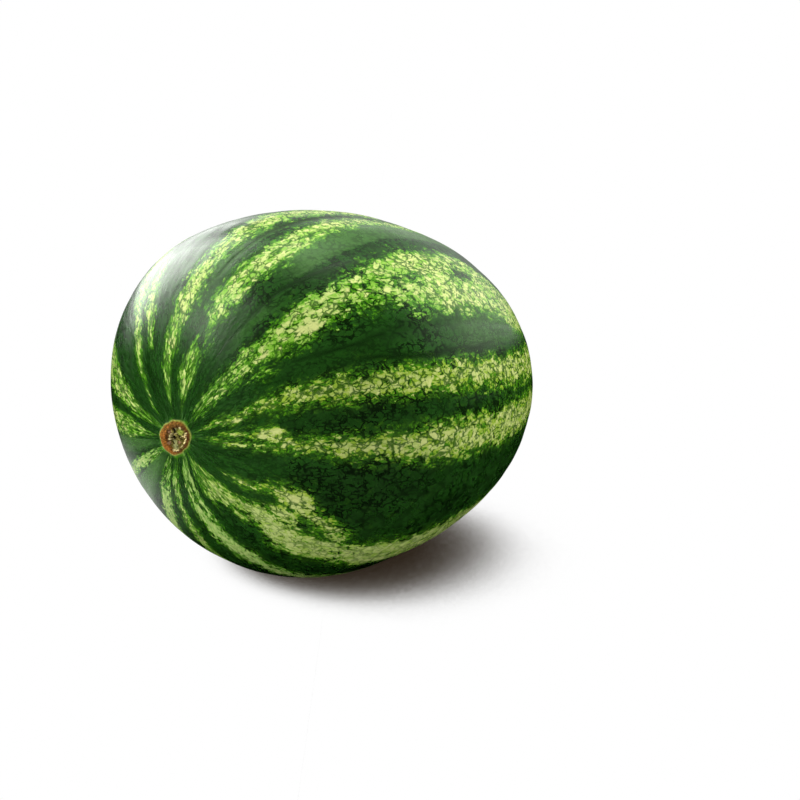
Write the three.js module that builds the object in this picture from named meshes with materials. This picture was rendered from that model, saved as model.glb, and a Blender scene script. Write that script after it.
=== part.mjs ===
// A whole striped watermelon lying on its side: one closed solid with shallow lengthwise lobes,
// a corky scar where the vine stem came off, a small blossom scar at the other end
// and a small flat spot underneath.
// Millimetres, +Z up. The stem end faces -X and the blossom end +X. The flat spot lies on Z = 0.
import * as THREE from 'three';
import { mergeVertices } from 'three/addons/utils/BufferGeometryUtils.js';

// Driving dimensions
const fruit = {
  length: 240, // stem pole to blossom pole
  width: 239, // across, along Y
  height: 209, // upright, before the flat spot is pressed in
  widestShift: 6.6, // how far the ring half way along sits towards the stem end
  endFullness: 0.178, // swells both ends, so that they are blunter than an ellipsoid's
  stemFullness: 0.119, // swells the stem half more than the blossom half
  stemLean: 4.7, // sideways lean of the stem end, along Y
  stemRise: THREE.MathUtils.degToRad(2.7), // the stem end lies a little higher than the blossom end
  restDepth: 1.6, // how deep the ground spot is pressed flat
};
const poleOffset = { y: -8.5, z: -10.4, reach: 7 }; // the stem scar sits off the long axis

// Creases run lengthwise in the dark bands between the pale stripes
const crease = {
  longitudes: [5, 34, 68, 97, 120, 147, 167, 193, 235, 270, 303, 336],
  depth: 0.75,
  halfWidth: 6.5, // degrees of longitude
};

const stemScar = {
  radius: 9.8, // to the outer edge of the corky ring
  sideStretch: 1.08, // the scar is a little wider than high
  lobes: 9, // gentle corners round the edge of the ring
  lobeDepth: 0.045,
  ringHeight: 1.5,
  ringWidth: 2.1,
  cupDepth: 1.7, // the fibrous middle lies lower than the ring
  dimpleDepth: 2.6,
  dimpleRadius: 24,
  turn: Math.tan(THREE.MathUtils.degToRad(11)), // the scar's face is turned towards -Y
};

const blossomScar = { dimpleDepth: 1.8, dimpleRadius: 13, buttonHeight: 0.9, buttonRadius: 3.2 };

const mesh = { around: 96, scarRings: 11, flankRings: 33, blossomRings: 5 };
const scarEdge = 0.11; // end of the close rings over the stem scar, radians from the stem pole
const blossomEdge = 3.0; // start of the close rings over the blossom scar

// Half outline of the fruit, from the stem pole (angle 0) to the blossom pole (angle PI).
function bareRadius(angle) {
  const c = Math.cos(angle);
  return Math.sin(angle) * (1 + fruit.stemFullness * c + fruit.endFullness * c * c);
}

const samples = Array.from({ length: 721 }, (_, i) => (Math.PI * i) / 720);
const widestRadius = Math.max(...samples.map(bareRadius));
const widestAngle = samples.find((a) => bareRadius(a) === widestRadius);

function outline(angle) {
  return {
    x: (-fruit.length / 2) * Math.cos(angle) - fruit.widestShift * Math.sin(angle) ** 2,
    r: bareRadius(angle) / widestRadius, // 1 at the widest ring
  };
}

const widestX = outline(widestAngle).x;
const stemReach = widestX - outline(0).x;

// The place along X where the stem half has the relative radius r.
function stemSideX(r) {
  let near = 0;
  let far = widestAngle;
  for (let i = 0; i < 40; i += 1) {
    const middle = (near + far) / 2;
    if (outline(middle).r < r) near = middle;
    else far = middle;
  }
  return outline(near).x;
}

// How far a point stands towards the stem pole: 0 at the widest ring, 1 at the pole.
function towardsStem(x) {
  return THREE.MathUtils.clamp((widestX - x) / stemReach, 0, 1);
}

const bell = (distance, width) => Math.exp(-((distance / width) ** 2));

function creaseDepth(angle, longitude) {
  const degrees = THREE.MathUtils.radToDeg(longitude);
  const pull = crease.longitudes.reduce((sum, line) => {
    const gap = THREE.MathUtils.euclideanModulo(degrees - line + 180, 360) - 180;
    return sum + bell(gap, crease.halfWidth);
  }, 0);
  return crease.depth * pull * Math.sin(angle) ** 2;
}

// Height of the surface over the plain end cap, at (y, z) from the scar's middle.
function stemRelief(y, z) {
  const distance = Math.hypot(y / stemScar.sideStretch, z);
  const wave = 1 + stemScar.lobeDepth * Math.cos(stemScar.lobes * Math.atan2(z, y));
  const edge = stemScar.radius * wave;
  const crest = edge - stemScar.ringWidth;
  const ring = stemScar.ringHeight * bell(distance - crest, stemScar.ringWidth);
  const cup = stemScar.cupDepth * bell(distance, crest * 0.75);
  const turned = stemScar.turn * y * bell(distance, edge * 1.6);
  return ring - cup + turned - stemScar.dimpleDepth * bell(distance, stemScar.dimpleRadius);
}

function blossomRelief(distance) {
  const button = blossomScar.buttonHeight * bell(distance, blossomScar.buttonRadius);
  return button - blossomScar.dimpleDepth * bell(distance, blossomScar.dimpleRadius);
}

// A point of the skin, by its angle from the stem pole and its longitude round the long axis.
function skinPoint(angle, longitude) {
  const plain = outline(angle);
  const stemHalf = angle < widestAngle;
  const shift = stemHalf ? towardsStem(plain.x) ** poleOffset.reach : 0;
  let across = plain.r * Math.cos(longitude) + (shift * poleOffset.y * 2) / fruit.width;
  let upright = plain.r * Math.sin(longitude) + (shift * poleOffset.z * 2) / fruit.height;
  let x = stemHalf ? stemSideX(Math.hypot(across, upright)) : plain.x;

  const lean = fruit.stemLean * towardsStem(x) ** 2.5;
  const inward = 1 - creaseDepth(angle, longitude) / (fruit.height / 2);
  across *= (fruit.width / 2) * inward;
  upright *= (fruit.height / 2) * inward;
  if (stemHalf) x -= stemRelief(across - poleOffset.y, upright - poleOffset.z);
  else x += blossomRelief(Math.hypot(across, upright));
  return new THREE.Vector3(x, across + lean, upright);
}

function span(from, to, count) {
  return Array.from({ length: count }, (_, i) => from + ((to - from) * i) / count);
}

// The rings of vertices lie close together over the two scars and wider apart on the flanks.
const stations = [
  ...span(0, scarEdge, mesh.scarRings),
  ...span(scarEdge, blossomEdge, mesh.flankRings),
  ...span(blossomEdge, Math.PI, mesh.blossomRings),
  Math.PI,
];

function skinGeometry() {
  const ball = new THREE.SphereGeometry(1, mesh.around, stations.length - 1);
  const { position, uv } = ball.attributes;
  for (let i = 0; i < position.count; i += 1) {
    const ring = Math.round((1 - uv.getY(i)) * (stations.length - 1));
    const pole = ring === 0 || ring === stations.length - 1;
    const longitude = pole ? 0 : -2 * Math.PI * uv.getX(i);
    position.setXYZ(i, ...skinPoint(stations[ring], longitude));
  }
  ball.deleteAttribute('normal');
  ball.deleteAttribute('uv');
  return mergeVertices(ball, 0.01);
}

// Lays the fruit down: stem end a little up, the lowest skin pressed flat, middle over the origin.
function layDown(geometry) {
  geometry.rotateY(fruit.stemRise);
  geometry.computeBoundingBox();
  const ground = geometry.boundingBox.min.z + fruit.restDepth;
  const { position } = geometry.attributes;
  for (let i = 0; i < position.count; i += 1) {
    position.setZ(i, Math.max(position.getZ(i), ground));
  }
  const middle = geometry.boundingBox.getCenter(new THREE.Vector3());
  geometry.translate(-middle.x, -middle.y, -ground);
  return geometry;
}

const skin = new THREE.MeshStandardMaterial({ color: 0x2f5a2c, roughness: 0.32, metalness: 0 });
const watermelon = new THREE.Mesh(layDown(skinGeometry()), skin);
watermelon.name = 'watermelon';

const group = new THREE.Group();
group.add(watermelon);

export default group;
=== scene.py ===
import math

import bpy
import numpy as np
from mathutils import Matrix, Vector


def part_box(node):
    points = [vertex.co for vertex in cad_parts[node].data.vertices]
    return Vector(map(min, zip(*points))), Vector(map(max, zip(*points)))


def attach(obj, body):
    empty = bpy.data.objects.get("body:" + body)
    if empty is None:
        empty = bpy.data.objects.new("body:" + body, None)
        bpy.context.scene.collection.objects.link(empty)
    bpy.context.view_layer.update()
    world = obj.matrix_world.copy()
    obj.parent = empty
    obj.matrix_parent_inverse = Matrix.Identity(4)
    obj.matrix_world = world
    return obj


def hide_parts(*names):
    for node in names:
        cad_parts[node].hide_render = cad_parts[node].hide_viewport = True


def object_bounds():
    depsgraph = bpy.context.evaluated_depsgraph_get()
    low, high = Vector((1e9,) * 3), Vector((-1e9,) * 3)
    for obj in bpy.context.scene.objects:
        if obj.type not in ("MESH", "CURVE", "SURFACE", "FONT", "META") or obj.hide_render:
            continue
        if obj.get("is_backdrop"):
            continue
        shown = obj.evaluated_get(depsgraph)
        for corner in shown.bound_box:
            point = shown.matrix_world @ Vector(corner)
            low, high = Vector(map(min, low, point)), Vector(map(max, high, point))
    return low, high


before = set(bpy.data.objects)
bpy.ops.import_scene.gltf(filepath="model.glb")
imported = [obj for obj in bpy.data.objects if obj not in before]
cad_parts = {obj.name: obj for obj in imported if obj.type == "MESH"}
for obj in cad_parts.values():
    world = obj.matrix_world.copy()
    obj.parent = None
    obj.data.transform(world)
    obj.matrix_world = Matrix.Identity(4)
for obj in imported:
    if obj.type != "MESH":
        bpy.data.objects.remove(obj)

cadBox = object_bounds()
print("frame loaded, solid's box", [[round(v, 4) for v in corner] for corner in cadBox])

mm = 0.001


def deselectAll():
    bpy.ops.object.select_all(action="DESELECT")


def bell(distance, width):
    return np.exp(-((distance / width) ** 2))


def smoothStep(value, low, high):
    t = np.clip((value - low) / (high - low), 0, 1)
    return t * t * (3 - 2 * t)


def straighten(colour):  # 0-255 as shown on a screen
    value = np.asarray(colour) / 255
    return np.where(value <= 0.04045, value / 12.92, ((value + 0.055) / 1.055) ** 2.4)


def tint(red, green, blue):
    return (*map(float, straighten((red, green, blue))), 1)


# the form: angle runs from the stem pole (0) to the blossom pole (pi), longitude round the long axis
fruit = {
    "length": 240,  # mm, stem pole to blossom pole
    "width": 239,
    "height": 209,
    "widestShift": 6.6,  # the widest ring lies this much nearer to the stem pole
    "endFullness": 0.178,
    "stemFullness": 0.119,
    "stemLean": 4.7,  # mm, sideways at the stem pole
    "leanPower": 2.5,
    "stemRise": math.radians(2.7),
    "restDepth": 1.6,  # the flat spot underneath
    "poleY": -8.5,  # the stem scar sits off the long axis
    "poleZ": -10.4,
    "poleReach": 7,
    "creases": [5, 34, 68, 97, 120, 147, 167, 193, 235, 270, 303, 336],  # degrees of longitude
    "creaseDepth": 0.75,
    "creaseWidth": 6.5,
    "segments": 360,
    "rings": 272,
    "closerRings": ((8, 0.13), (4, 0.1)),  # at the stem and blossom pole: how much, within how many radians
}

stemScar = {
    "radius": 9.6,  # mm, to the outer edge of the corky ring
    # waves round it, their cosine and their sine, as shares of the radius
    "unround": [(1, 0.0235, 0.0316), (2, -0.038, -0.156), (3, 0.012, 0.021)],
    "sideStretch": 1.2,
    "offset": (1.5, -1.0),  # mm from the pole
    "lobes": 9,
    "lobeDepth": 0.02,
    "ringHeight": 1.5,
    "ringWidth": 2.1,
    "cupDepth": 1.7,
    "cupReach": 0.75,  # share of the ring's radius
    "dimpleDepth": 2.6,
    "dimpleRadius": 24,
    "turn": math.tan(math.radians(11)),  # the scar faces a little sideways
    "turnReach": 1.6,
}

blossomScar = {"dimpleDepth": 1.8, "dimpleRadius": 13, "buttonHeight": 0.9, "buttonRadius": 3.2}  # mm


def bareRadius(angle):
    c = np.cos(angle)
    return np.sin(angle) * (1 + fruit["stemFullness"] * c + fruit["endFullness"] * c * c)


def outline(angle):
    x = -fruit["length"] / 2 * np.cos(angle) - fruit["widestShift"] * np.sin(angle) ** 2
    return x, bareRadius(angle) / widestRadius


sampleAngles = np.linspace(0, math.pi, 7201)
widestRadius = bareRadius(sampleAngles).max()
widestAngle = sampleAngles[bareRadius(sampleAngles).argmax()]
widestX = outline(widestAngle)[0]
stemReach = widestX - outline(0)[0]
stemSide = outline(sampleAngles[sampleAngles <= widestAngle])  # x and radius, pole to widest ring


def towardsStem(x):
    return np.clip((widestX - x) / stemReach, 0, 1)


def turnGap(longitude, line):
    return (longitude - line + 180) % 360 - 180


def creaseDepth(angle, longitude):
    pull = sum(bell(turnGap(np.degrees(longitude), line), fruit["creaseWidth"])
               for line in fruit["creases"])
    return fruit["creaseDepth"] * pull * np.sin(angle) ** 2


def scarEdge(y, z):
    turn = np.arctan2(z, y)
    wave = 1 + stemScar["lobeDepth"] * np.cos(stemScar["lobes"] * turn)
    for count, cosine, sine in stemScar["unround"]:
        wave = wave + cosine * np.cos(count * turn) + sine * np.sin(count * turn)
    return stemScar["radius"] * wave


def scarDistance(y, z):
    return np.hypot(y / stemScar["sideStretch"], z)


def stemRelief(y, z):
    distance = scarDistance(y, z)
    edge = scarEdge(y, z)
    crest = edge - stemScar["ringWidth"]
    ring = stemScar["ringHeight"] * bell(distance - crest, stemScar["ringWidth"])
    cup = stemScar["cupDepth"] * bell(distance, crest * stemScar["cupReach"])
    turned = stemScar["turn"] * y * bell(distance, edge * stemScar["turnReach"])
    return ring - cup + turned - stemScar["dimpleDepth"] * bell(distance, stemScar["dimpleRadius"])


def blossomRelief(distance):
    button = blossomScar["buttonHeight"] * bell(distance, blossomScar["buttonRadius"])
    return button - blossomScar["dimpleDepth"] * bell(distance, blossomScar["dimpleRadius"])


# small unevenness of the skin, on top of the form
unevenness = {
    "seed": 7,
    "rippleHeight": 0.13,  # mm, ripples that run lengthwise
    "rippleCount": (16, 64),  # around the fruit
    "rippleStep": 3,
    "swellHeight": 0.30,  # slow swells
    "swells": 14,
    "lineDepth": 0.22,  # a narrow line inside some of the creases
    "lineWidth": 0.9,  # degrees
    "lines": [97, 147],
    "shoulders": [(114.5, 50, 112), (141, 70, 120), (88, 40, 120)],  # low ridges: longitude, from, to
    "shoulderHeight": 0.3,
    "shoulderWidth": 4,  # degrees
    "shoulderFade": (12, 8, 25),  # degrees before and after its start, and past its end
}


def skinUnevenness(angle, longitude):
    draw = np.random.default_rng(unevenness["seed"])
    height = np.zeros_like(angle)
    low, high = unevenness["rippleCount"]
    step = unevenness["rippleStep"]
    for count in range(low, high, step):
        phase = draw.uniform(0, 2 * math.pi)
        drift = draw.uniform(-1.2, 1.2)
        bend = draw.uniform(1, 2.6)
        strength = draw.normal(0, 1) / math.sqrt((high - low) / step)
        wave = np.cos(count * longitude + phase + drift * np.sin(bend * angle + phase))
        height += unevenness["rippleHeight"] * strength * wave * np.sin(angle) ** 1.5
    for _ in range(unevenness["swells"]):
        around = draw.integers(2, 9)
        lengthwise = draw.uniform(1, 5)
        phase = draw.uniform(0, 2 * math.pi, 2)
        wave = np.cos(around * longitude + phase[0]) * np.cos(lengthwise * angle + phase[1])
        height += unevenness["swellHeight"] / math.sqrt(unevenness["swells"]) * wave * np.sin(angle) ** 2
    for line in unevenness["lines"]:
        wander = 1.6 * np.sin(angle * 2.3 + line) + 0.7 * np.sin(angle * 7 + line * 2)
        gap = turnGap(np.degrees(longitude), line + wander)
        height -= unevenness["lineDepth"] * bell(gap, unevenness["lineWidth"]) * smoothStep(angle, 0.5, 1)
    along = np.degrees(angle)
    before, after, past = unevenness["shoulderFade"]
    for line, start, end in unevenness["shoulders"]:
        gap = turnGap(np.degrees(longitude), line + 0.8 * np.sin(angle * 5 + line))
        present = smoothStep(along, start - before, start + after) * smoothStep(along, end + past, end)
        ridge = np.exp(-np.hypot(gap, 0.7) / unevenness["shoulderWidth"])  # the crest is a little rounded
        height += unevenness["shoulderHeight"] * present * ridge
    return height


# the dried stem scar: mm to the right and up from its middle, as it is seen a little from its left
scarDetail = {
    "seed": 5,
    "seenRight": (1.05, -0.646, -0.078, -1.42),  # mm to the right for each mm of x, y and z, and an offset
    "seenUp": (0.221, 0.262, 1.03, -0.37),
    "wobble": 0.07,  # mm, the strokes aren't quite straight
    "wobbleWaves": 12,
    "hollowMiddle": (1.45, -0.77),
    "hollowReach": (5.3, 7.0),
    "hollowDepth": 0.9,
    "roughSeed": 11,
    "roughHeight": 0.16,
    "roughWaves": 26,
    "radialHeight": 0.12,
    "colours": {  # 0-255
        "bark": (70, 34, 6), "cork": (124, 84, 30), "corkLow": (144, 90, 30), "corkFar": (98, 58, 14),
        "fibre": (104, 92, 36), "grey": (150, 152, 98), "leaf": (146, 160, 62), "pink": (148, 112, 82),
        "cream": (240, 222, 158), "straw": (172, 162, 88), "shadedHole": (4, 3, 1), "shade": (46, 42, 4),
        "rust": (184, 112, 50), "lip": (136, 146, 58),
    },
}

scarStrokes = [  # colour, height, half width, points
    ("leaf", 0, 1.67, [(2.85, 3.63), (4.08, 2.75)]),
    ("grey", 0.05, 1.50, [(0.21, -4.3), (0.56, -5.7)]),
    ("grey", 0, 1.06, [(-0.49, -1.83), (0.56, -2.36)]),
    ("grey", 0.1, 0.70, [(0.21, 5.12)]),
    ("pink", 0.1, 0.97, [(2.85, -2.54)]),
    ("pink", 0.05, 1.06, [(-3.31, -2.89)]),
    ("pink", 0, 1.06, [(-2.96, 3.8)]),
    ("cream", 0.35, 0.46, [(2.68, 6.09), (3.29, 5.39)]),
    # painted shade: the holes are real dips, and their near-black colour stands in for the shade inside them
    ("shadedHole", -0.78, 0.62, [(-1.11, 5.56), (-0.49, 3.1)]),
    ("shadedHole", -1.3, 1.0, [(-1.2, 1.87)]),
    ("shadedHole", -1.17, 0.8, [(-0.67, -0.25), (0.04, 0.63)]),
    ("shadedHole", -1.17, 0.7, [(-1.55, 1.16), (-0.67, -0.25)]),
    ("shade", -0.4, 0.35, [(1.27, 2.57), (3.03, 0.46)]),
    ("shade", -0.3, 0.49, [(3.38, 0.99), (3.03, -0.07)]),
    ("shade", -0.3, 0.28, [(4.61, 1.69), (5.32, 2.22)]),
    ("shade", -0.3, 0.42, [(-2.25, -1.3)]),
    ("shade", -0.3, 0.39, [(2.15, -1.48)]),
    ("shade", -0.3, 0.39, [(4.61, -1.13), (3.73, -0.77)]),
    ("shade", -0.3, 0.28, [(1.62, 6.09), (4.61, 4.15)]),
    ("shade", -0.3, 0.35, [(-1.55, -1.83), (-0.49, -3.24)]),
    ("shade", -0.2, 0.25, [(1.27, -5.88), (2.15, -4.65)]),
    ("cream", 0.6, 0.33, [(6.11, 1.87), (6.41, -0.07), (6.2, -1.48), (5.49, -2.71), (5.14, -3.59)]),
    ("cream", 0.6, 0.35, [(4.26, -4.47), (3.47, -5.7)]),
    ("cream", 0.6, 0.35, [(-0.67, -6.94), (0.21, -7.38), (1.27, -7.68), (1.71, -7.2)]),
    ("cream", 0.7, 0.42, [(6.69, 2.75)]),
    ("cream", 0.7, 0.35, [(-0.4, 1.69), (1.09, 2.92)]),
    ("straw", 0.5, 0.26, [(0.56, 2.22), (1.8, 0.63), (2.5, -0.6), (3.56, -2.18)]),
    ("cream", 0.5, 0.26, [(3.73, 0.46), (5.14, 1.16)]),
    ("straw", 0.4, 0.23, [(4.26, 2.04), (5.14, 3.27)]),
    ("cream", 0.6, 0.46, [(-2.69, 1.69), (-2.08, 2.48)]),
    ("cream", 0.5, 0.32, [(-2.78, 1.69), (-2.69, 0.11)]),
    ("cream", 0.6, 0.42, [(-3.31, -0.6), (-1.81, -0.6)]),
    ("straw", 0.4, 0.30, [(-1.73, 4.15), (-1.29, 3.1)]),
    ("rust", 0.3, 0.42, [(-5.25, 2.75)]),
    ("rust", 0.3, 0.39, [(-5.81, 1.6)]),
    ("rust", 0.3, 0.42, [(-5.07, -2.18)]),
    ("rust", 0.3, 0.60, [(-3.49, -5.53), (-2.78, -6.41)]),
    ("rust", 0.15, 0.53, [(-5.77, 4.15), (-6.13, 0.63)]),
    ("rust", 0.2, 0.46, [(-4.54, 6.27), (-3.66, 6.62)]),
    ("bark", -0.2, 0.46, [(5.49, 4.68)]),
    ("bark", -0.2, 0.42, [(6.37, 3.63)]),
    ("bark", -0.1, 0.39, [(7.25, 0.99), (7.43, -1.83)]),
    ("bark", -0.2, 0.42, [(5.14, -4.3), (6.2, -3.59)]),
    ("bark", -0.2, 0.39, [(2.5, -7.46), (3.56, -6.76)]),
    ("bark", -0.3, 0.46, [(-4.89, 1.69), (-4.89, -1.13)]),
    ("bark", -0.2, 0.46, [(-4.01, 4.51), (-4.37, 3.1)]),
    ("bark", -0.3, 0.39, [(-5.07, -0.07)]),
]


def strokeDistance(right, up, points):
    if len(points) == 1:
        return np.hypot(right - points[0][0], up - points[0][1])
    nearest = np.full_like(right, 99)
    for start, end in zip(points, points[1:]):
        start, end = np.array(start), np.array(end)
        run = end - start
        t = np.clip(((right - start[0]) * run[0] + (up - start[1]) * run[1]) / (run @ run), 0, 1)
        across, upward = right - start[0] - t * run[0], up - start[1] - t * run[1]
        nearest = np.minimum(nearest, np.hypot(across, upward))
    return nearest


def scarSeen(x, y, z):  # where a point of the scar is seen from in front and a little from its left
    across, upward = scarDetail["seenRight"], scarDetail["seenUp"]
    place = np.stack([x, y, z, np.ones_like(y)], -1)
    return place @ across, place @ upward


def scarPaint(right, up, zone):
    draw = np.random.default_rng(scarDetail["seed"])
    colours = {name: np.array(straighten(value)) for name, value in scarDetail["colours"].items()}
    wobble = np.zeros((2,) + right.shape)
    for _ in range(scarDetail["wobbleWaves"]):
        wave = draw.uniform(1.5, 5, 2) * draw.choice([-1, 1], 2)
        phase = draw.uniform(0, 6.28, 2)[:, None]
        wobble += scarDetail["wobble"] * np.cos(wave[0] * right + wave[1] * up + phase)
    seenX, seenY = right + wobble[0], up + wobble[1]
    low = smoothStep(-seenX - 0.6 * seenY, 2, 8)[:, None]
    far = smoothStep(seenX, 1, 7)[:, None]
    painted = colours["cork"] + (colours["corkLow"] - colours["cork"]) * low
    painted = painted + (colours["corkFar"] - painted) * far
    middle, reach = scarDetail["hollowMiddle"], scarDetail["hollowReach"]
    hollow = np.hypot((seenX - middle[0]) / reach[0], (seenY - middle[1]) / reach[1])
    # painted shade: a dark bark-coloured ring round the rim of the hollow
    painted = painted + (colours["bark"] - painted) * (0.6 * bell(hollow - 1.06, 0.1))[:, None]
    painted = painted + (colours["fibre"] - painted) * smoothStep(hollow, 1.04, 0.86)[:, None]
    height = -scarDetail["hollowDepth"] * smoothStep(hollow, 1.15, 0.8)
    for name, rise, width, points in scarStrokes:
        cover = smoothStep(strokeDistance(seenX, seenY, points), width * 1.25, width * 0.6)
        painted = painted + (colours[name] - painted) * cover[:, None]
        height = height + rise * cover
    rim = smoothStep(zone, 0.94, 0.985)[:, None]
    painted = painted + (colours["lip"] - painted) * rim
    return painted, height * smoothStep(zone, 1.0, 0.9)


def scarRoughness(y, z):
    draw = np.random.default_rng(scarDetail["roughSeed"])
    distance = scarDistance(y, z) / scarEdge(y, z)
    turn = np.arctan2(z, y)
    rough = np.zeros_like(y)
    for _ in range(scarDetail["roughWaves"]):
        wave = draw.uniform(1.2, 5.5, 2) * draw.choice([-1, 1], 2)
        phase = draw.uniform(0, 2 * math.pi)
        rough += np.cos(wave[0] * y + wave[1] * z + phase) / math.sqrt(scarDetail["roughWaves"])
    radial = sum(np.cos(k * turn + draw.uniform(0, 6.28) + distance * draw.uniform(-3, 3))
                 for k in range(17, 47, 5)) / math.sqrt(6)
    inside = smoothStep(distance, 1.06, 0.9)
    radial = scarDetail["radialHeight"] * radial * smoothStep(distance, 0.25, 0.6)
    return inside * (scarDetail["roughHeight"] * rough + radial)


def skinPoints(angle, longitude):
    plainX, plainR = outline(angle)
    stemHalf = angle < widestAngle
    shift = np.where(stemHalf, towardsStem(plainX) ** fruit["poleReach"], 0)
    across = plainR * np.cos(longitude) + shift * fruit["poleY"] * 2 / fruit["width"]
    upright = plainR * np.sin(longitude) + shift * fruit["poleZ"] * 2 / fruit["height"]
    sideX = np.interp(np.hypot(across, upright), stemSide[1], stemSide[0])
    x = np.where(stemHalf, sideX, plainX)

    lean = fruit["stemLean"] * towardsStem(x) ** fruit["leanPower"]
    depth = creaseDepth(angle, longitude) - skinUnevenness(angle, longitude)
    inward = 1 - depth / (fruit["height"] / 2)
    across = across * fruit["width"] / 2 * inward
    upright = upright * fruit["height"] / 2 * inward
    y, z = across - fruit["poleY"] - stemScar["offset"][0], upright - fruit["poleZ"] - stemScar["offset"][1]
    zone = np.where(stemHalf, scarDistance(y, z) / scarEdge(y, z), 9)
    relief = stemRelief(y, z)
    right, up = scarSeen(-relief, y, z)
    painted, detail = scarPaint(right, up, zone)
    detail = detail + scarRoughness(y, z)
    x = np.where(stemHalf, x - relief - detail * smoothStep(zone, 1.3, 1.0),
                 x + blossomRelief(np.hypot(across, upright)))
    blossom = np.where(stemHalf, 99, np.hypot(across, upright))
    return np.stack([x, across + lean, upright], -1), zone, painted, blossom


def layDown(points):
    c, s = math.cos(fruit["stemRise"]), math.sin(fruit["stemRise"])
    x, y, z = points[:, 0], points[:, 1], points[:, 2]
    x, z = x * c + z * s, z * c - x * s
    ground = z.min() + fruit["restDepth"]
    z = np.maximum(z, ground)
    low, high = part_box("watermelon")
    shiftX = ((low[0] + high[0]) / mm - x.min() - x.max()) / 2
    shiftY = ((low[1] + high[1]) / mm - y.min() - y.max()) / 2
    shiftZ = low[2] / mm - ground
    return np.stack([x + shiftX, y + shiftY, z + shiftZ], -1), np.array([shiftX, shiftY, shiftZ])


def ringStations():  # angles of the rings of points, closer together at the two scars
    (stemMore, stemWidth), (blossomMore, blossomWidth) = fruit["closerRings"]
    angles = np.linspace(0, math.pi, 20001)
    closeness = 1 + stemMore * bell(angles, stemWidth) + blossomMore * bell(math.pi - angles, blossomWidth)
    total = np.concatenate([[0], np.cumsum((closeness[1:] + closeness[:-1]) / 2)])
    return np.interp(np.linspace(0, total[-1], fruit["rings"] + 1), total, angles)


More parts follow.
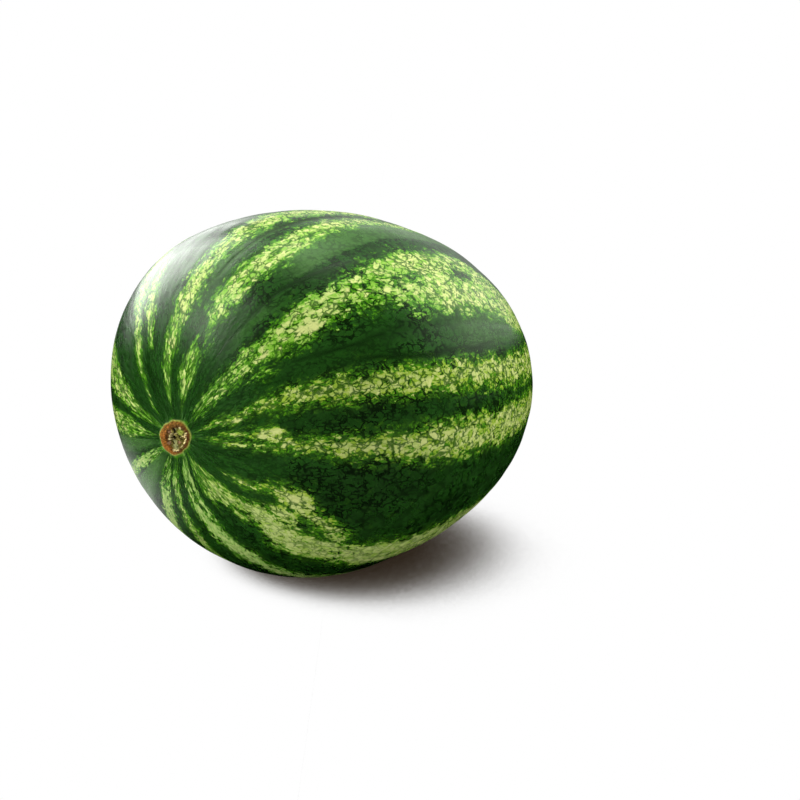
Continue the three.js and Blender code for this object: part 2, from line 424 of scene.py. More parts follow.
# each pale stripe: (degrees from the stem pole, longitude, half width in degrees), pole to blossom
paleStripes = [
    [(9, 78, 2), (15, 79, 4), (20, 83, 5.5), (25, 85.5, 5.5), (30, 87.5, 6), (35, 88.5, 5.5), (42, 88.5, 4),
     (50, 90.5, 3.8), (58, 89.5, 4.5), (70, 89, 4.5), (85, 88, 5), (100, 88, 6), (120, 86, 7), (145, 84, 8),
     (168, 84, 10)],
    [(20, 80, 1), (28, 81.5, 1), (36, 84, 0.9), (44, 86, 0.6)],
    [(11, 104, 5), (14, 103, 8), (18, 104, 7), (20.5, 104, 3)],
    [(18, 109, 0.7), (27, 109.5, 0.5)],
    [(20, 112, 0.6), (24, 113, 0.4)],
    [(28.5, 107.5, 2), (31, 107.5, 4.5), (38, 108, 5), (50, 107.5, 5), (58, 107.5, 4.5), (65, 105.5, 4.7),
     (75, 103.5, 4), (90, 101, 3.6), (105, 101, 3.5), (125, 100, 4.5), (150, 98, 5), (170, 97, 7)],
    [(10, 131, 2.6), (15, 131, 2.9), (22, 132.6, 1.9), (30, 132.4, 2.4), (36, 134.3, 2.1)],
    [(11, 138, 2.6), (18, 138, 2.4), (25, 138.3, 1.8), (32, 138, 1.8), (38, 138, 2.2)],
    [(33, 136.5, 3.5), (40, 135.5, 5.5), (46, 135, 6), (52, 133.5, 5), (60, 133, 5), (65, 131.5, 6),
     (72, 130.5, 7), (80, 130, 8), (86, 130.5, 10.5), (92, 131.5, 12), (100, 131.5, 11.8),
     (108, 131.5, 12.5), (115, 132.5, 12.8), (121, 138, 12), (130, 143, 9), (150, 143, 7), (168, 140, 8)],
    [(28.5, 143.3, 0.5), (31, 143.7, 1.3), (33.8, 144, 0.5)],
    [(79, 142.2, 0.4), (81, 142.2, 0.9), (83, 142.2, 0.4)],
    [(9, 156, 1.6), (14, 157, 2), (18, 159.5, 2.2), (21, 158.3, 1.5), (25, 157.8, 2.6), (30, 158, 3),
     (35, 158.5, 3.8), (40, 159, 3.1), (45, 159, 3.7), (52, 160, 3.5), (60, 160, 3.6), (70, 160.5, 3.8),
     (85, 161.5, 4), (100, 163, 4.5), (120, 164, 5), (145, 163, 6), (168, 160, 8)],
    [(13, 153.5, 0.5), (16, 153.5, 1.4), (18.5, 155, 0.5)],
    [(11, 171.5, 2.5), (15, 175, 2.4), (19, 176.5, 1.6), (25, 177, 1.6), (30, 178, 1.2), (36, 178, 2.2),
     (45, 178.5, 3), (60, 179, 4), (85, 180, 5.5), (110, 181, 6), (140, 182, 6.5), (168, 182, 9)],
    [(15, 167.5, 1.4), (19, 169.5, 1.8), (24, 171.3, 1.4), (28, 171.5, 3.6), (30.5, 174, 4.2),
     (33.5, 177, 2.5)],
    [(6, 232, 4), (9, 230, 9), (13, 228, 11), (17, 227, 11), (20, 221.5, 6)],
    [(19, 219, 3), (24, 217, 3.2), (30, 217, 4.6), (35, 219, 7), (40, 222.5, 7.5), (46, 222.5, 7),
     (52, 222, 6.5), (58, 221.5, 5), (70, 222, 7), (90, 221, 8), (115, 220, 8), (145, 219, 8),
     (168, 218, 10)],
    [(19, 226, 2), (25, 226, 1.2), (29, 224.5, 1.5)],
    [(27, 200.5, 1.2), (31, 200, 2.4), (35, 201.5, 4.8), (40, 202.5, 5), (44, 206.5, 3.2), (48, 209.5, 2.5),
     (55, 214, 3)],
    [(16.5, 203.8, 0.6), (20, 203.5, 2), (24, 204, 1.6), (26, 204, 0.4)],
    [(31, 210, 1), (35, 210.5, 4), (39, 211, 3), (41, 211, 0.5)],
    [(17, 235, 2), (19, 236, 1)],
    [(5, 250, 4), (8, 254, 7), (12, 257, 4), (18, 256.5, 3.6), (24, 253.5, 3.8), (30, 250.5, 4.5),
     (36, 247.5, 5), (42, 245.5, 4.5), (50, 245.5, 3), (60, 245, 3.5), (80, 245, 5), (110, 246, 6.5),
     (140, 247, 6.5), (168, 246, 9)],
    [(11, 249, 2), (16, 248.5, 2.6), (22, 247, 1.6), (27, 246, 1.2)],
    [(8, 275, 3.5), (12, 275.5, 4), (17, 275, 3.5), (23, 271.5, 2.5), (30, 269, 3.5), (38, 268.5, 3.5),
     (60, 268, 4.5), (90, 268, 6), (120, 268, 6), (150, 268, 6), (168, 268, 8)],
    [(7, 292, 3), (11, 289, 6), (16, 289, 6), (21, 286, 5), (28, 285, 4.5), (40, 286, 4.5), (60, 288, 4),
     (90, 290, 4.5), (120, 291, 5), (160, 290, 6)],
    [(6, 318, 3), (10, 318, 6), (15, 318.5, 5.5), (20, 317.5, 3.5), (26, 317, 2), (35, 317, 3.5),
     (55, 317, 6), (85, 316, 7), (120, 315, 6.5), (150, 314, 6.5), (168, 314, 8)],
    [(9, 347, 3), (12, 348, 6), (16, 347.5, 7.5), (21, 346.5, 7.5), (26, 345.5, 7), (35, 345, 5.5),
     (55, 344, 5.5), (85, 342, 6.5), (115, 341, 7.5), (145, 342, 6), (168, 342, 9)],
    [(7, 14, 6), (10, 9, 6), (13, 9, 6), (18, 11.5, 7.5), (24, 11, 8.5), (30, 11, 9), (40, 12, 7.5),
     (60, 13, 6), (85, 14, 8), (115, 15, 8.5), (145, 14, 7), (168, 13, 9)],
    [(9, 36, 1.5), (12, 40, 1.2), (15, 44, 2.8), (20, 47.5, 3), (25, 49.5, 3.5), (30, 51, 3.5), (36, 52, 4),
     (50, 54, 4.5), (80, 56, 6.5), (110, 57, 6.5), (140, 56, 6.5), (168, 54, 8)],
    [(21, 62.5, 0.8), (24, 63.5, 2.4), (28, 62, 4), (34, 62, 3), (44, 63, 2)],
]
darkNotches = [  # dark bays in the broad stripe, written the same way
    [(60, 130.5, 0.5), (75, 130.5, 0.7), (88, 130.5, 0.5)],
    [(60, 135.5, 1), (68, 135.5, 1.6), (75, 136, 0.8)],
    [(102, 129.5, 0.5), (105, 129, 2.1), (109, 129, 1.4), (111, 129, 0.5)],
]
# dark lines along the fruit; those at longitudes 97, 121 and 146 lie in the creases and are painted crease
# shade
darkLinesAndCreaseShade = [  # thin dark lines along the fruit: (degrees from the stem pole, longitude, half width in degrees)
    [(58, 151.5, 0.3), (66, 153, 0.5), (78, 154.6, 0.6), (88, 154, 0.45), (96, 154.8, 0.6),
     (106, 153.5, 0.3)],
    [(24, 121, 0.3), (34, 121.5, 0.5), (46, 120.5, 0.5), (60, 121.5, 0.4), (70, 121, 0.3)],
    [(40, 146.2, 0.3), (55, 147, 0.5), (66, 146, 0.3)],
    [(40, 97, 0.3), (60, 96.5, 0.6), (90, 96, 0.5), (110, 96, 0.3)],
]
# longitudes where the pale colour runs unbroken, and how much
smoothStripes = [(222, 0.5), (250, 0.9), (288, 1), (317, 0.8)]
# pale skin without a net: (degrees from the stem pole, longitude, half length, half width in mm)
fusedSpots = [
    (48.5, 137.5, 3.6, 2.5), (45, 136.5, 2.4, 1.5), (30, 171, 3.8, 2.7), (26, 172.5, 2.6, 2),
    (20, 160.5, 2.2, 1.5), (33, 138, 2.2, 1.3), (62, 130, 2.5, 1.6), (74, 133, 2.2, 1.8),
    (37, 201.5, 3, 2.5),
]
# painted sheen and light: lighter bands on the dark skin that stand in for reflections and for light falling
# there, in places also lighter skin: its sharp side (degrees from the stem pole, longitude), width in degrees,
# strength
paintedSheens = [
    ([(54, 119.8), (60, 118.8), (68, 117.5), (77, 115.7), (85, 114.2), (93, 113.2), (102, 112.7),
      (128, 112.5)], 16, 1),
    ([(38, 99), (56, 99), (64, 98)], 8, 0.8),
    ([(30, 126), (44, 126)], 6, 0.5),
    ([(8, 312), (36, 311)], 18, 1.5),
    ([(8, 338), (30, 337)], 14, 1.2),
    ([(92, 155), (130, 154)], 18, 0.6),
]
warmSide = (140, 160, 245, 225)  # longitudes between which the pale skin turns yellower, and back
skinRadius = 112  # mm, the cylinder that the pattern is laid out on
patternDegree = math.radians(1) * skinRadius  # mm for one degree
wholeStripeTo = 155  # degrees from the stem pole; a stripe that ends past this isn't closed off


def smoothedCourse(knots, column):
    grid = np.arange(0, 181, 0.5)
    course = np.interp(grid, [k[0] for k in knots], [k[column] for k in knots])
    kernel = np.hanning(7)
    padded = np.pad(course, 3, mode="edge")
    return grid, np.convolve(padded, kernel / kernel.sum(), mode="valid")


def stripeField(knots, along, longitude):
    middle = np.interp(along, *smoothedCourse(knots, 1))
    half = np.interp(along, *smoothedCourse(knots, 2))
    inside = (half - np.abs(turnGap(longitude, middle))) * patternDegree
    before = np.clip(knots[0][0] - along, 0, None)
    after = np.clip(along - knots[-1][0], 0, None) * (knots[-1][0] < wholeStripeTo)
    return inside - (before + after) * patternDegree


pattern = {
    "slope": 0.6,  # how fast a stripe fills up, inwards from its edge
    "edge": 1.1,  # mm inside the edge where half of the skin is pale
    "fullest": (  # degrees from the stem pole, and the level there
        [0, 8, 14, 22, 34, 140, 160, 172, 180],
        [-1.4, -0.6, 0.4, 1.7, 2.5, 2.4, 1.0, -0.6, -2.5],
    ),
    "emptiest": -7,
    "rounding": 1.6,  # how sharply the level turns flat where the stripe is full
    "outside": -40,  # mm, far from every stripe
    "notchShare": 0.8,
    "smoothWidth": (6, 18),  # degrees
    "linesAndShadeEdge": (-1.6, 0.6),
    "fusedLevel": 4,
    "fusedWidth": 1.1,
    "sheenFade": 6,  # degrees, at both ends
    "sheenEdge": (-0.25, 0.45),  # degrees, the sharp side
    "sheenCore": 0.35,  # share of the width where the soft side starts
    "rate": (  # degrees from the stem pole, and mm of pattern for each mm of skin
        [0, 6, 11, 20, 40, 80, 95, 130, 160, 180],
        [0.2, 0.22, 0.5, 0.8, 1, 1, 1.4, 1.3, 0.7, 0.3],
    ),
    "narrowing": ([0, 40], [0.6, 1]),  # towards the stem pole fewer cells go round
}


def stripePattern(angle, longitude):
    along, turn = np.degrees(angle), np.degrees(longitude) % 360
    field = np.full_like(along, pattern["outside"])
    for knots in paleStripes:
        field = np.maximum(field, stripeField(knots, along, turn))
    for knots in darkNotches:
        field = np.minimum(field, -stripeField(knots, along, turn) * pattern["notchShare"])
    fullest = np.interp(along, *pattern["fullest"])
    level = np.clip((field - pattern["edge"]) * pattern["slope"], pattern["emptiest"], None)
    level = fullest - np.log1p(np.exp((fullest - level) * pattern["rounding"])) / pattern["rounding"]
    smooth = np.zeros_like(along)
    for line, strength in smoothStripes:
        gap = np.abs(turnGap(turn, line))
        smooth = np.maximum(smooth, strength * (1 - smoothStep(gap, *pattern["smoothWidth"])))
    # dark lines, mostly painted shade along the creases
    linesAndCreaseShade = np.zeros_like(along)
    for knots in darkLinesAndCreaseShade:
        linesAndCreaseShade = np.maximum(linesAndCreaseShade, smoothStep(stripeField(knots, along, turn), *pattern["linesAndShadeEdge"]))
    fused = np.zeros_like(along)
    for spotAlong, spotTurn, halfLength, halfWidth in fusedSpots:
        lengthwise = (along - spotAlong) * patternDegree / halfLength
        crosswise = turnGap(turn, spotTurn) * patternDegree * np.sin(angle) ** 0.5 / halfWidth
        fused = np.maximum(fused, bell(np.hypot(lengthwise, crosswise), pattern["fusedWidth"]))
    # painted sheen and light: how strongly each point lies in one of the lighter bands
    paintedSheen = np.zeros_like(along)
    fade = pattern["sheenFade"]
    for knots, wide, strength in paintedSheens:
        gap = np.interp(along, *zip(*knots)) - turn
        start, end = knots[0][0], knots[-1][0]
        present = smoothStep(along, start - fade, start + fade) * smoothStep(along, end + fade, end - fade)
        across = smoothStep(gap, *pattern["sheenEdge"]) * smoothStep(gap, wide, wide * pattern["sheenCore"])
        paintedSheen = np.maximum(paintedSheen, strength * present * across)
    return level + pattern["fusedLevel"] * fused, smooth, linesAndCreaseShade, fused, paintedSheen


def patternPlace(angle, longitude):  # the skin laid out round a straight axis, for the cells and veins
    grid = np.radians(np.arange(0, 181))
    rate = np.interp(np.degrees(grid), *pattern["rate"])
    course = np.concatenate([[0], np.cumsum((rate[1:] + rate[:-1]) / 2 * np.diff(grid))]) * skinRadius
    lengthwise = np.interp(angle, grid, course)
    radius = skinRadius * np.interp(np.degrees(angle), *pattern["narrowing"])
    return np.stack([radius * np.cos(longitude), radius * np.sin(longitude), lengthwise], -1)


def setAttribute(mesh, name, kind, values):
    layer = mesh.attributes.new(name, kind, "POINT")
    field = "vector" if kind == "FLOAT_VECTOR" else "value"
    layer.data.foreach_set(field, np.ascontiguousarray(values, dtype=np.float32).ravel())


def makeRind():  # a fine sheet, rolled up round the long axis and closed at both poles
    deselectAll()
    bpy.ops.mesh.primitive_grid_add(x_subdivisions=fruit["segments"], y_subdivisions=fruit["rings"], size=1)
    rind = bpy.context.object
    rind.name = "watermelonRind"
    mesh = rind.data
    mesh.name = "watermelonRind"
    sheet = np.empty(len(mesh.vertices) * 3, dtype=np.float32)
    mesh.vertices.foreach_get("co", sheet)
    sheet = sheet.reshape(-1, 3) + 0.5
    ring = np.rint(sheet[:, 1] * fruit["rings"]).astype(int)
    angle = ringStations()[ring]
    longitude = 2 * math.pi * sheet[:, 0].astype(float)
    longitude[(ring == 0) | (ring == fruit["rings"])] = 0
    points, zone, painted, blossom = skinPoints(angle, longitude)
    points, shift = layDown(points)
    mesh.vertices.foreach_set("co", (points * mm).astype(np.float32).ravel())
    level, smooth, linesAndCreaseShade, fused, paintedSheen = stripePattern(angle, longitude)
    setAttribute(mesh, "stripe", "FLOAT", level)
    setAttribute(mesh, "smoothPale", "FLOAT", smooth)
    setAttribute(mesh, "linesAndCreaseShade", "FLOAT", linesAndCreaseShade)
    setAttribute(mesh, "fused", "FLOAT", fused)
    setAttribute(mesh, "paintedSheen", "FLOAT", paintedSheen)
    turn = np.degrees(longitude) % 360
    setAttribute(mesh, "warmth", "FLOAT", smoothStep(turn, *warmSide[:2]) * smoothStep(turn, *warmSide[2:]))
    setAttribute(mesh, "weave", "FLOAT_VECTOR", patternPlace(angle, longitude))
    setAttribute(mesh, "scarZone", "FLOAT", np.minimum(zone, 9))
    setAttribute(mesh, "scarColour", "FLOAT_VECTOR", painted)
    setAttribute(mesh, "blossomDistance", "FLOAT", blossom)
    mesh.uv_layers[0].name = "OFBake"
    mesh.update()
    bpy.ops.object.mode_set(mode="EDIT")
    bpy.ops.mesh.select_all(action="SELECT")
    bpy.ops.mesh.remove_doubles(threshold=0.001 * mm)
    bpy.ops.mesh.normals_make_consistent(inside=False)
    bpy.ops.object.mode_set(mode="OBJECT")
    bpy.ops.object.shade_smooth()
    print("rind made:", len(mesh.vertices), "points, moved by", shift.round(2))
    return rind, Vector(shift * mm)


rind, fruitMiddle = makeRind()  # the middle of the fruit is what the camera is placed from


def put(tree, kind, inputs=None, **settings):
    made = tree.nodes.new("ShaderNode" + kind)
    for name, value in settings.items():
        setattr(made, name, value)
    for socket, value in (inputs or {}).items():
        if isinstance(value, bpy.types.NodeSocket):
            tree.links.new(value, made.inputs[socket])
        else:
            made.inputs[socket].default_value = value
    return made


def calc(tree, operation, *values):
    return put(tree, "Math", dict(enumerate(values)), operation=operation).outputs[0]


def times(tree, first, second):
    return calc(tree, "MULTIPLY", first, second)


def inverse(tree, mask):
    return calc(tree, "SUBTRACT", 1, mask)


def ramp(tree, value, low, high, start=0, end=1):
    inputs = {"Value": value, "From Min": low, "From Max": high, "To Min": start, "To Max": end}
    return put(tree, "MapRange", inputs, interpolation_type="SMOOTHSTEP").outputs[0]


def blendColour(tree, factor, first, second, mode="MIX"):
    made = put(tree, "Mix", {0: factor, 6: first, 7: second}, data_type="RGBA", blend_type=mode)
    return made.outputs[2]


def noise(tree, vector, size, detail=2, roughness=0.5, output=0):
    inputs = {"Vector": vector, "Scale": 1 / size, "Detail": detail, "Roughness": roughness}
    return put(tree, "TexNoise", inputs).outputs[output]


def attribute(tree, name, output="Fac"):
    return put(tree, "Attribute", attribute_name=name).outputs[output]


def newGroup(name, inputs, outputs):
    tree = bpy.data.node_groups.new(name, "ShaderNodeTree")
    for label, kind in inputs:
        tree.interface.new_socket(label, in_out="INPUT", socket_type="NodeSocket" + kind)
    for label, kind in outputs:
        tree.interface.new_socket(label, in_out="OUTPUT", socket_type="NodeSocket" + kind)
    return tree, tree.nodes.new("NodeGroupInput"), tree.nodes.new("NodeGroupOutput")


def makeCellGroup():  # the net of skin cells: a chance value for each cell, and the way to its edge
    tree, given, result = newGroup("skinCells", [("Vector", "Vector"), ("Cell Size", "Float")],
                                   [("Chance", "Float"), ("Second Chance", "Float"), ("Edge", "Float")])
    scale = calc(tree, "DIVIDE", 1, given.outputs["Cell Size"])
    cells = put(tree, "TexVoronoi", {"Vector": given.outputs["Vector"], "Scale": scale, "Randomness": 0.95})
    edges = put(tree, "TexVoronoi", {"Vector": given.outputs["Vector"], "Scale": scale, "Randomness": 0.95},
                feature="DISTANCE_TO_EDGE")
    split = put(tree, "SeparateColor", {0: cells.outputs["Color"]})
    tree.links.new(split.outputs[0], result.inputs["Chance"])
    tree.links.new(split.outputs[1], result.inputs["Second Chance"])
    edge = times(tree, edges.outputs[0], given.outputs["Cell Size"])
    tree.links.new(edge, result.inputs["Edge"])
    return tree


cellGroup = makeCellGroup()


rindFinish = {
    "cellSize": 2.9,  # mm
    "fineCellSize": 1.4,
    "crackSize": 7.5,
    "lengthwise": 0.7,  # cells are longer than wide
    "wander": ((9, 6), (2.2, 2)),  # mm: the size of a bend of the cells, and how far it reaches
    "cellStep": 3.5,  # how far a whole cell may step over a stripe's edge
    "fineStep": 2.2,
    "patchStep": 6.0,
    "clumpStep": 6.2,
    "raggedStep": 5.5,
    "patchSize": 8,  # mm
    "clumpSize": 3.2,
    "raggedSize": 1.05,
    "calmer": (50, 18, 1, 0.6),  # the edges get less ragged from 50 to 18 mm from the stem pole
    "fleckSize": 2.4,
    "fleckStretch": 0.16,
    "fleckStep": 8,
    "fleckReach": (52, 18),  # the flecks grow from 52 to 18 mm from the stem pole
    "paleEdge": (0.0, 0.5),  # how far inside a stripe the pale colour starts and is full
    "fringeEdge": (-2.2, -0.8),  # the fresh green in front of it
    "fringeStrength": 0.85,
    "veinWidth": 0.27,
    "crackWidth": 0.42,
    "stemVeins": (48, 12, 1, 1.7),  # the veins get wider towards the stem pole
    "stemNet": (45, 12, 1, 0.6),  # and the net of the dark skin fainter
    "paleNet": (0.85, 0.25),  # strength of the net on ragged and on smooth pale skin
    "yellowEdge": (0.3, 4.2),
    "darkGreen": tint(31, 76, 19),
    "deepGreen": tint(18, 54, 8),
    "netGreen": tint(6, 26, 3),
    "linesAndShadeStrength": 0.8,
    "nearPaleGreen": tint(54, 98, 14),
    "nearPaleEdge": (-5.6, -1.2),
    "nearPaleStrength": (0.2, 0.6),  # on the cool and on the warm side
    "freshGreen": tint(72, 136, 12),
    "paleGreen": tint(126, 176, 56),
    "warmGreen": tint(150, 178, 52),
    "paleYellow": tint(200, 208, 128),
    "sheenGreen": tint(80, 124, 58),
    "sheenStrength": 0.45,
    "veinGreen": tint(24, 78, 2),
    "haloGreen": tint(96, 160, 30),
    "haloStrength": 0.18,
    "smoothPale": tint(156, 186, 104),
    "smoothStrength": 0.7,
    "nearScarGreen": tint(96, 150, 70),
    "buttonCentre": tint(84, 54, 20),
    "buttonEdge": tint(168, 140, 84),
    "aroundButton": tint(120, 150, 60),
    "roughness": 0.25,
    "scarRougher": 0.65,
    "bumpStrength": 0.35,
    "gritSize": 0.0009,  # m
    "crumbSize": 0.0004,
}


def makeRindMaterial():
    look = rindFinish
    material = bpy.data.materials.new("watermelonRind")
    material.use_nodes = True
    tree = material.node_tree
    shader = tree.nodes["Principled BSDF"]
    weave = attribute(tree, "weave", "Vector")
    stripe = attribute(tree, "stripe")
    smooth = attribute(tree, "smoothPale")

    def stretch(vector, x, y, z):
        return put(tree, "VectorMath", {0: vector, 1: (x, y, z)}, operation="MULTIPLY").outputs[0]

    def shaken(vector, size, reach):
        wobble = noise(tree, weave, size, output="Color")
        wobble = put(tree, "VectorMath", {0: wobble, 1: (0.5, 0.5, 0.5)}, operation="SUBTRACT").outputs[0]
        wobble = put(tree, "VectorMath", {0: wobble, "Scale": reach}, operation="SCALE").outputs[0]
        return put(tree, "VectorMath", {0: vector, 1: wobble}, operation="ADD").outputs[0]

    def step(value, reach):
        return times(tree, calc(tree, "SUBTRACT", value, 0.5), reach)

    def total(*values):
        result = values[0]
        for value in values[1:]:
            result = calc(tree, "ADD", result, value)
        return result

    # the cells wander a little
    moved = weave
    for size, reach in look["wander"]:
        moved = shaken(moved, size, reach)
    stretched = stretch(moved, 1, 1, look["lengthwise"])
    cells, small, cracks = (
        put(tree, "Group", {"Vector": stretched, "Cell Size": look[key]}, node_tree=cellGroup).outputs
        for key in ("cellSize", "fineCellSize", "crackSize")
    )

    # how far inside a pale stripe, with whole cells stepping in and out
    long = stretch(weave, 1, 1, 0.5)
    height = put(tree, "SeparateXYZ", {0: weave}).outputs[2]
    flecks = noise(tree, stretch(weave, 1, 1, look["fleckStretch"]), look["fleckSize"], 2, 0.6)
    flecks = times(tree, step(flecks, look["fleckStep"]), ramp(tree, height, *look["fleckReach"]))
    ragged = total(step(noise(tree, long, look["patchSize"]), look["patchStep"]),
                   step(noise(tree, long, look["clumpSize"]), look["clumpStep"]),
                   step(noise(tree, long, look["raggedSize"], 2, 0.6), look["raggedStep"]))
    ragged = times(tree, ragged, ramp(tree, height, *look["calmer"]))
    inside = total(stripe, flecks, ragged,
                   step(cells["Chance"], look["cellStep"]),
                   step(small["Chance"], look["fineStep"]))
    pale = ramp(tree, inside, *look["paleEdge"])
    speck = step(noise(tree, weave, 0.9), 5)
    fringe = ramp(tree, total(inside, speck), *look["fringeEdge"])

    # veins between the cells
    width = ramp(tree, noise(tree, weave, 4), 0.4, 0.62, 0.03, 1.5)
    width = times(tree, width, look["veinWidth"])
    width = times(tree, width, ramp(tree, height, *look["stemVeins"]))
    fromVein = calc(tree, "DIVIDE", cells["Edge"], width)
    vein = inverse(tree, ramp(tree, fromVein, 0.4, 1.6))
    crackWidth = ramp(tree, noise(tree, weave, 9), 0.42, 0.6, 0.03, 1.2)
    crackWidth = times(tree, crackWidth, look["crackWidth"])
    fromCrack = calc(tree, "DIVIDE", cracks["Edge"], crackWidth)
    crack = inverse(tree, ramp(tree, fromCrack, 0.4, 1.5))
    net = calc(tree, "MAXIMUM", vein, crack)
    fused = attribute(tree, "fused")
    net = times(tree, net, ramp(tree, fused, 0.2, 0.7, 1, 0.15))

    # pale colour: yellow well inside, greener towards the edges of the pale patches
    mood = step(noise(tree, weave, 2.6, 3), 1.6)
    mood = total(mood, step(cells["Second Chance"], 0.9), times(tree, fused, 0.4))
    yellow = ramp(tree, inside, *look["yellowEdge"])
    yellow = put(tree, "Math", {0: yellow, 1: mood}, operation="ADD", use_clamp=True).outputs[0]
    warm = attribute(tree, "warmth")
    paleGreen = blendColour(tree, warm, look["paleGreen"], look["warmGreen"])
    paleColour = blendColour(tree, yellow, paleGreen, look["paleYellow"])
    evenly = times(tree, smooth, look["smoothStrength"])
    paleColour = blendColour(tree, evenly, paleColour, look["smoothPale"])
    halo = calc(tree, "MINIMUM", fromVein, cracks["Edge"])
    halo = ramp(tree, halo, 0.5, 2.6, look["haloStrength"], 0)
    halo = times(tree, halo, ramp(tree, smooth, 0, 1, 1, 0.2))
    halo = times(tree, halo, ramp(tree, fused, 0.2, 0.7, 1, 0))
    paleColour = blendColour(tree, halo, paleColour, look["haloGreen"])
    netStrength = ramp(tree, smooth, 0, 1, *look["paleNet"])
    paleColour = blendColour(tree, times(tree, net, netStrength), paleColour, look["veinGreen"])

    # dark colour with a darker net
    cloud = total(noise(tree, long, 20), step(cells["Second Chance"], 0.16),
                  step(noise(tree, weave, 1.3), 0.3))
    darkColour = blendColour(tree, ramp(tree, cloud, 0.1, 0.9), look["deepGreen"], look["darkGreen"])
    nearPale = ramp(tree, total(inside, times(tree, speck, 0.5)), *look["nearPaleEdge"])
    nearPale = times(tree, nearPale, ramp(tree, warm, 0, 1, *look["nearPaleStrength"]))
    darkColour = blendColour(tree, nearPale, darkColour, look["nearPaleGreen"])
    fringe = times(tree, fringe, look["fringeStrength"])
    darkColour = blendColour(tree, fringe, darkColour, look["freshGreen"])
    # painted sheen and light: the dark skin turns lighter green along these bands, and its net gets fainter
    # there
    paintedSheen = attribute(tree, "paintedSheen")
    sheenShare = times(tree, paintedSheen, look["sheenStrength"])
    darkColour = blendColour(tree, sheenShare, darkColour, look["sheenGreen"])
    # painted crease shade: dark lines along the creases, mixed in with the dark net
    linesAndCreaseShade = times(tree, attribute(tree, "linesAndCreaseShade"), look["linesAndShadeStrength"])
    netShown = ramp(tree, noise(tree, weave, 24, 1), 0.35, 0.6, 0.5, 0.95)
    netShown = times(tree, netShown, ramp(tree, paintedSheen, 0, 0.8, 1, 0.45))
    netShown = times(tree, netShown, ramp(tree, height, *look["stemNet"]))
    darkNet = calc(tree, "MAXIMUM", times(tree, net, netShown), linesAndCreaseShade)
    darkColour = blendColour(tree, darkNet, darkColour, look["netGreen"])
    colour = blendColour(tree, pale, darkColour, paleColour)

    # the stem scar
    zone = attribute(tree, "scarZone")
    place = put(tree, "TexCoord").outputs["Object"]
    grit = noise(tree, place, look["gritSize"], 3, 0.65)
    crumbs = noise(tree, place, look["crumbSize"], 2, 0.6)
    grain = ramp(tree, total(grit, step(crumbs, 0.5)), 0.3, 0.7, 0.5, 1.45)
    scarColour = attribute(tree, "scarColour", "Vector")
    scarColour = put(tree, "VectorMath", {0: scarColour, "Scale": grain}, operation="SCALE").outputs[0]
    streak = noise(tree, stretch(weave, 1, 1, 0.1), 4.5, 3, 0.6)
    nearScar = times(tree, ramp(tree, zone, 2.8, 1.1), ramp(tree, streak, 0.55, 0.75))
    colour = blendColour(tree, times(tree, nearScar, 0.6), colour, look["nearScarGreen"])
    greenRim = ramp(tree, noise(tree, place, 0.006), 0.4, 0.7)
    greenRim = times(tree, ramp(tree, zone, 1.28, 1.06), greenRim)
    colour = blendColour(tree, greenRim, colour, look["freshGreen"])
    button = total(attribute(tree, "blossomDistance"), step(grit, 2.5), step(crumbs, 1.5))
    buttonColour = ramp(tree, button, 0.5, 2.2)
    buttonColour = blendColour(tree, buttonColour, look["buttonCentre"], look["buttonEdge"])
    colour = blendColour(tree, ramp(tree, button, 7, 3.4, 0, 0.6), colour, look["aroundButton"])
    colour = blendColour(tree, ramp(tree, button, 3.2, 2.6), colour, buttonColour)
    outer = total(zone, step(grit, 0.12))
    colour = blendColour(tree, ramp(tree, outer, 1.0, 1.07), scarColour, colour)
    tree.links.new(colour, shader.inputs["Base Color"])

    skinOnly = times(tree, ramp(tree, zone, 0.95, 1.1), ramp(tree, button, 2.4, 3.4))
    smear = noise(tree, weave, 11, 3)
    gloss = ramp(tree, smear, 0.3, 0.7, look["roughness"] - 0.03, look["roughness"] + 0.06)
    scarOnly = inverse(tree, skinOnly)
    gloss = total(gloss, times(tree, scarOnly, look["scarRougher"]))
    tree.links.new(gloss, shader.inputs["Roughness"])

    # relief: veins lie a little low, long fine ripples, grain
    ripple = noise(tree, stretch(weave, 1, 1, 0.12), 5, 2)
    grain = noise(tree, weave, 0.8)
    height = total(times(tree, ripple, 0.5), times(tree, grain, 0.05))
    height = calc(tree, "SUBTRACT", height, times(tree, net, 0.04))
    height = times(tree, height, skinOnly)
    crumble = times(tree, total(grit, crumbs), 0.5)
    height = total(height, times(tree, crumble, scarOnly))
    bump = put(tree, "Bump", {"Height": height, "Distance": mm, "Strength": look["bumpStrength"]})
    tree.links.new(bump.outputs[0], shader.inputs["Normal"])
    shader.inputs["IOR"].default_value = 1.45
    shader.inputs["Specular Tint"].default_value = (0.8, 1, 0.7, 1)
    return material


rind.data.materials.append(makeRindMaterial())
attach(rind, "root")
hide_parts("watermelon")
print("rind finished")


studio = {
    "floorSize": 60,  # m
    "frontToBack": (-0.1, 0.14),  # m along Y
    "bounce": (0.55, 0.98),  # the floor's white as the fruit sees it, dimmer in front
    # the part of the floor that shines in the fruit's gloss: m along Y, m along X, strength
    "glossFrontToBack": (0.03, 0.13),
    "glossLeft": (-0.2, -0.11),
    "floorGloss": 0.45,
    "tableEdge": (0.17, 0.29),  # m from the middle; it ends here, but for a wedge straight behind
    "behindReach": (0.3, 1),
    "behindSpread": 1.5,
    "backward": (0.669, 0.743, 0),
    "sideways": (0.743, -0.669, 0),
    "shadowReach": 0.3,  # m, how far the soft contact shadow looks for what stands over it
    "shadowDeep": (0.13, 0.3),  # openness to the sky: from the darkest to the half-dark
    "shadowSoft": (0.265, 0.505),  # and on to full light
    "shadowLean": (-0.56, 0.48, 1),  # the light comes more from the left
    "shadowColour": tint(38, 28, 18),
    "halfShadow": tint(84, 78, 70),
    "shadowSamples": 20,
}


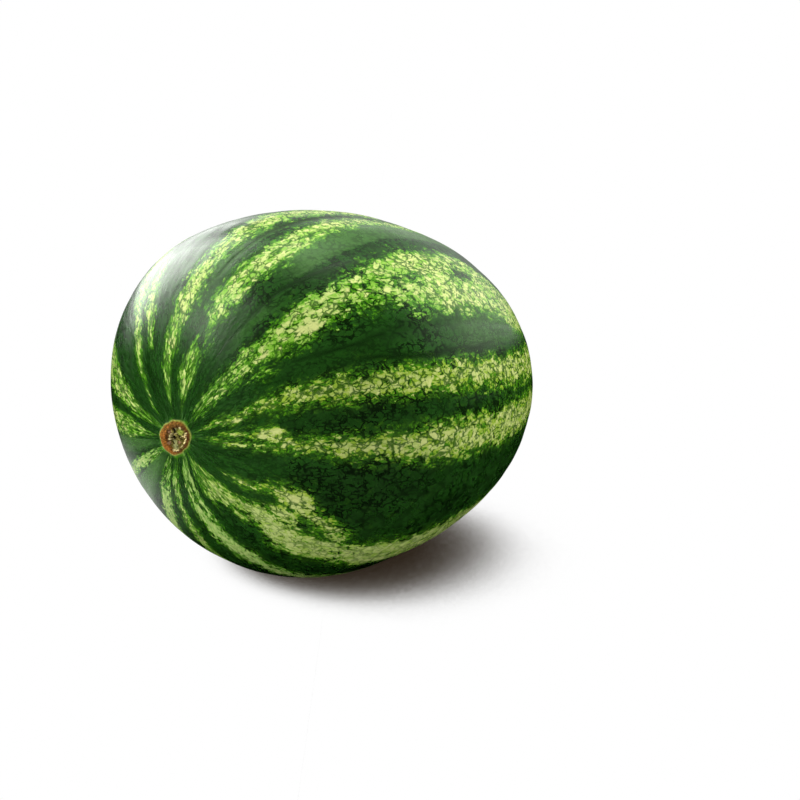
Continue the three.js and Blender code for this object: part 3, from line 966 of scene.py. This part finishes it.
def makeFloor():
    deselectAll()
    bpy.ops.mesh.primitive_plane_add(size=studio["floorSize"])
    floor = bpy.context.object
    floor.name = "studioFloor"
    material = bpy.data.materials.new("studioFloor")
    material.use_nodes = True
    tree = material.node_tree
    tree.nodes.remove(tree.nodes["Principled BSDF"])
    rays = put(tree, "LightPath")
    place = put(tree, "TexCoord").outputs["Object"]
    axes = put(tree, "SeparateXYZ", {0: place})
    away = put(tree, "VectorMath", {0: place}, operation="LENGTH").outputs["Value"]
    level = ramp(tree, axes.outputs[1], *studio["frontToBack"], *studio["bounce"])
    bright = ramp(tree, axes.outputs[1], *studio["glossFrontToBack"])
    bright = times(tree, bright, ramp(tree, axes.outputs[0], *studio["glossLeft"]))

    def along(direction):
        return put(tree, "VectorMath", {0: place, 1: direction}, operation="DOT_PRODUCT").outputs["Value"]

    behind, beside = along(studio["backward"]), calc(tree, "ABSOLUTE", along(studio["sideways"]))
    behind = calc(tree, "SUBTRACT", behind, times(tree, beside, studio["behindSpread"]))
    mirrored = times(tree, bright, ramp(tree, away, *studio["tableEdge"], 1, 0))
    mirrored = calc(tree, "MAXIMUM", mirrored, ramp(tree, behind, *studio["behindReach"]))
    mirrored = times(tree, mirrored, studio["floorGloss"])
    level = put(tree, "Mix", {0: rays.outputs["Is Glossy Ray"], 2: level, 3: mirrored}).outputs[0]
    grey = put(tree, "CombineColor", {0: level, 1: level, 2: level}).outputs[0]
    matte = put(tree, "BsdfDiffuse", {"Color": grey})
    lean = put(tree, "CombineXYZ", dict(enumerate(studio["shadowLean"]))).outputs[0]
    openness = put(tree, "AmbientOcclusion", {"Distance": studio["shadowReach"], "Normal": lean},
                   samples=studio["shadowSamples"]).outputs["AO"]
    under = ramp(tree, openness, *studio["shadowDeep"])
    under = blendColour(tree, under, studio["shadowColour"], studio["halfShadow"])
    glow = blendColour(tree, ramp(tree, openness, *studio["shadowSoft"]), under, (1, 1, 1, 1))
    glow = put(tree, "Emission", {"Color": glow})
    shown = {0: rays.outputs["Is Camera Ray"], 1: matte.outputs[0], 2: glow.outputs[0]}
    mixed = put(tree, "MixShader", shown)
    tree.links.new(mixed.outputs[0], tree.nodes["Material Output"].inputs["Surface"])
    floor.data.materials.append(material)
    return floor


floor = makeFloor()
floor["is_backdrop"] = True

softLights = [  # name, place, aimed at, size, power; what the gloss sees is in the surroundings
    ("topLight", (0.0, 0.35, 1.5), (0, 0, 0.1), 1.2, 22),
    ("leftLight", (-1.25, 0.75, 0.5), (0, 0, 0.1), 1.0, 13),
    ("backLight", (1.0, -0.5, 0.85), (0, 0, 0.1), 1.0, 15),
]


def aim(thing, target):
    direction = Vector(target) - thing.location
    thing.rotation_euler = direction.to_track_quat("-Z", "Y").to_euler()


for name, place, target, size, power in softLights:
    deselectAll()
    bpy.ops.object.light_add(type="AREA", location=place)
    lamp = bpy.context.object
    lamp.name = name
    lamp.data.shape = "DISK"
    lamp.data.size = size
    lamp.data.energy = power
    lamp.visible_glossy = False
    aim(lamp, target)

# what the gloss sees: soft panels painted on the surroundings
# azimuth and elevation in degrees (azimuth from +X towards +Y), half sizes, soft edge, brightness
panels = [
    (88, 21.5, 16, 22, 10, 5.2),
    (65, 7, 9, 9, 8, 2.4),
    (140, 31, 8, 17, 9, 4.0),
    (115, 28, 22, 16, 14, 1.2),
    (48, 62, 26, 14, 18, 1.2),
    (70, 52, 85, 40, 24, 0.35),
    (-8, 25, 22, 18, 20, 0.85),
    (38, 6, 32, 13, 14, 0.55),
]
world = {"fill": 0.55, "dimGloss": 0.02, "background": 1.0}  # all round, between the panels, as seen


def makeWorld():
    surroundings = bpy.data.worlds.new("studio")
    bpy.context.scene.world = surroundings
    surroundings.use_nodes = True
    tree = surroundings.node_tree
    direction = put(tree, "TexCoord").outputs["Generated"]
    axes = put(tree, "SeparateXYZ", {0: direction})
    azimuth = calc(tree, "DEGREES", calc(tree, "ARCTAN2", axes.outputs[1], axes.outputs[0]))
    elevation = calc(tree, "DEGREES", calc(tree, "ARCSINE", axes.outputs[2]))
    light = world["dimGloss"]
    for panelAzimuth, panelElevation, halfWide, halfHigh, edge, bright in panels:
        turned = calc(tree, "SUBTRACT", azimuth, panelAzimuth)
        turned = put(tree, "Math", {0: turned, 1: 180, 2: -180}, operation="WRAP").outputs[0]
        sideways = calc(tree, "ABSOLUTE", turned)
        upward = calc(tree, "ABSOLUTE", calc(tree, "SUBTRACT", elevation, panelElevation))
        wide = inverse(tree, ramp(tree, sideways, halfWide - edge / 2, halfWide + edge / 2))
        high = inverse(tree, ramp(tree, upward, halfHigh - edge / 2, halfHigh + edge / 2))
        light = calc(tree, "ADD", light, times(tree, times(tree, wide, high), bright))
    rays = put(tree, "LightPath")
    seen = put(tree, "Mix", {0: rays.outputs["Is Glossy Ray"], 2: world["fill"], 3: light}).outputs[0]
    seen = put(tree, "Mix", {0: rays.outputs["Is Camera Ray"], 2: seen, 3: world["background"]}).outputs[0]
    tree.links.new(seen, tree.nodes["Background"].inputs["Strength"])
    tree.nodes["Background"].inputs["Color"].default_value = (1, 1, 1, 1)


makeWorld()
bpy.context.scene.view_settings.view_transform = "Standard"

view = {
    "azimuth": 42.0,  # degrees, from +Y towards +X
    "elevation": 16.7,
    "distance": 0.896,  # m, from the middle of the fruit
    "lens": 68.09,
    "shiftX": 0.0826,  # the fruit stands left of the middle of the frame and a little above it
    "shiftY": -0.0188,
}


def makeCamera():
    az, el = math.radians(view["azimuth"]), math.radians(view["elevation"])
    forward = Vector((math.sin(az) * math.cos(el), math.cos(az) * math.cos(el), -math.sin(el)))
    deselectAll()
    bpy.ops.object.camera_add(location=fruitMiddle - forward * view["distance"])
    camera = bpy.context.object
    camera.name = "camera"
    camera.data.lens = view["lens"]
    camera.data.sensor_width = 36
    aim(camera, fruitMiddle)
    camera.data.shift_x = view["shiftX"]
    camera.data.shift_y = view["shiftY"]
    bpy.context.scene.camera = camera


makeCamera()
print("studio set")

size = {"cad": [list(map(float, c)) for c in cadBox], "visual": [list(map(float, c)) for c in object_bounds()]}
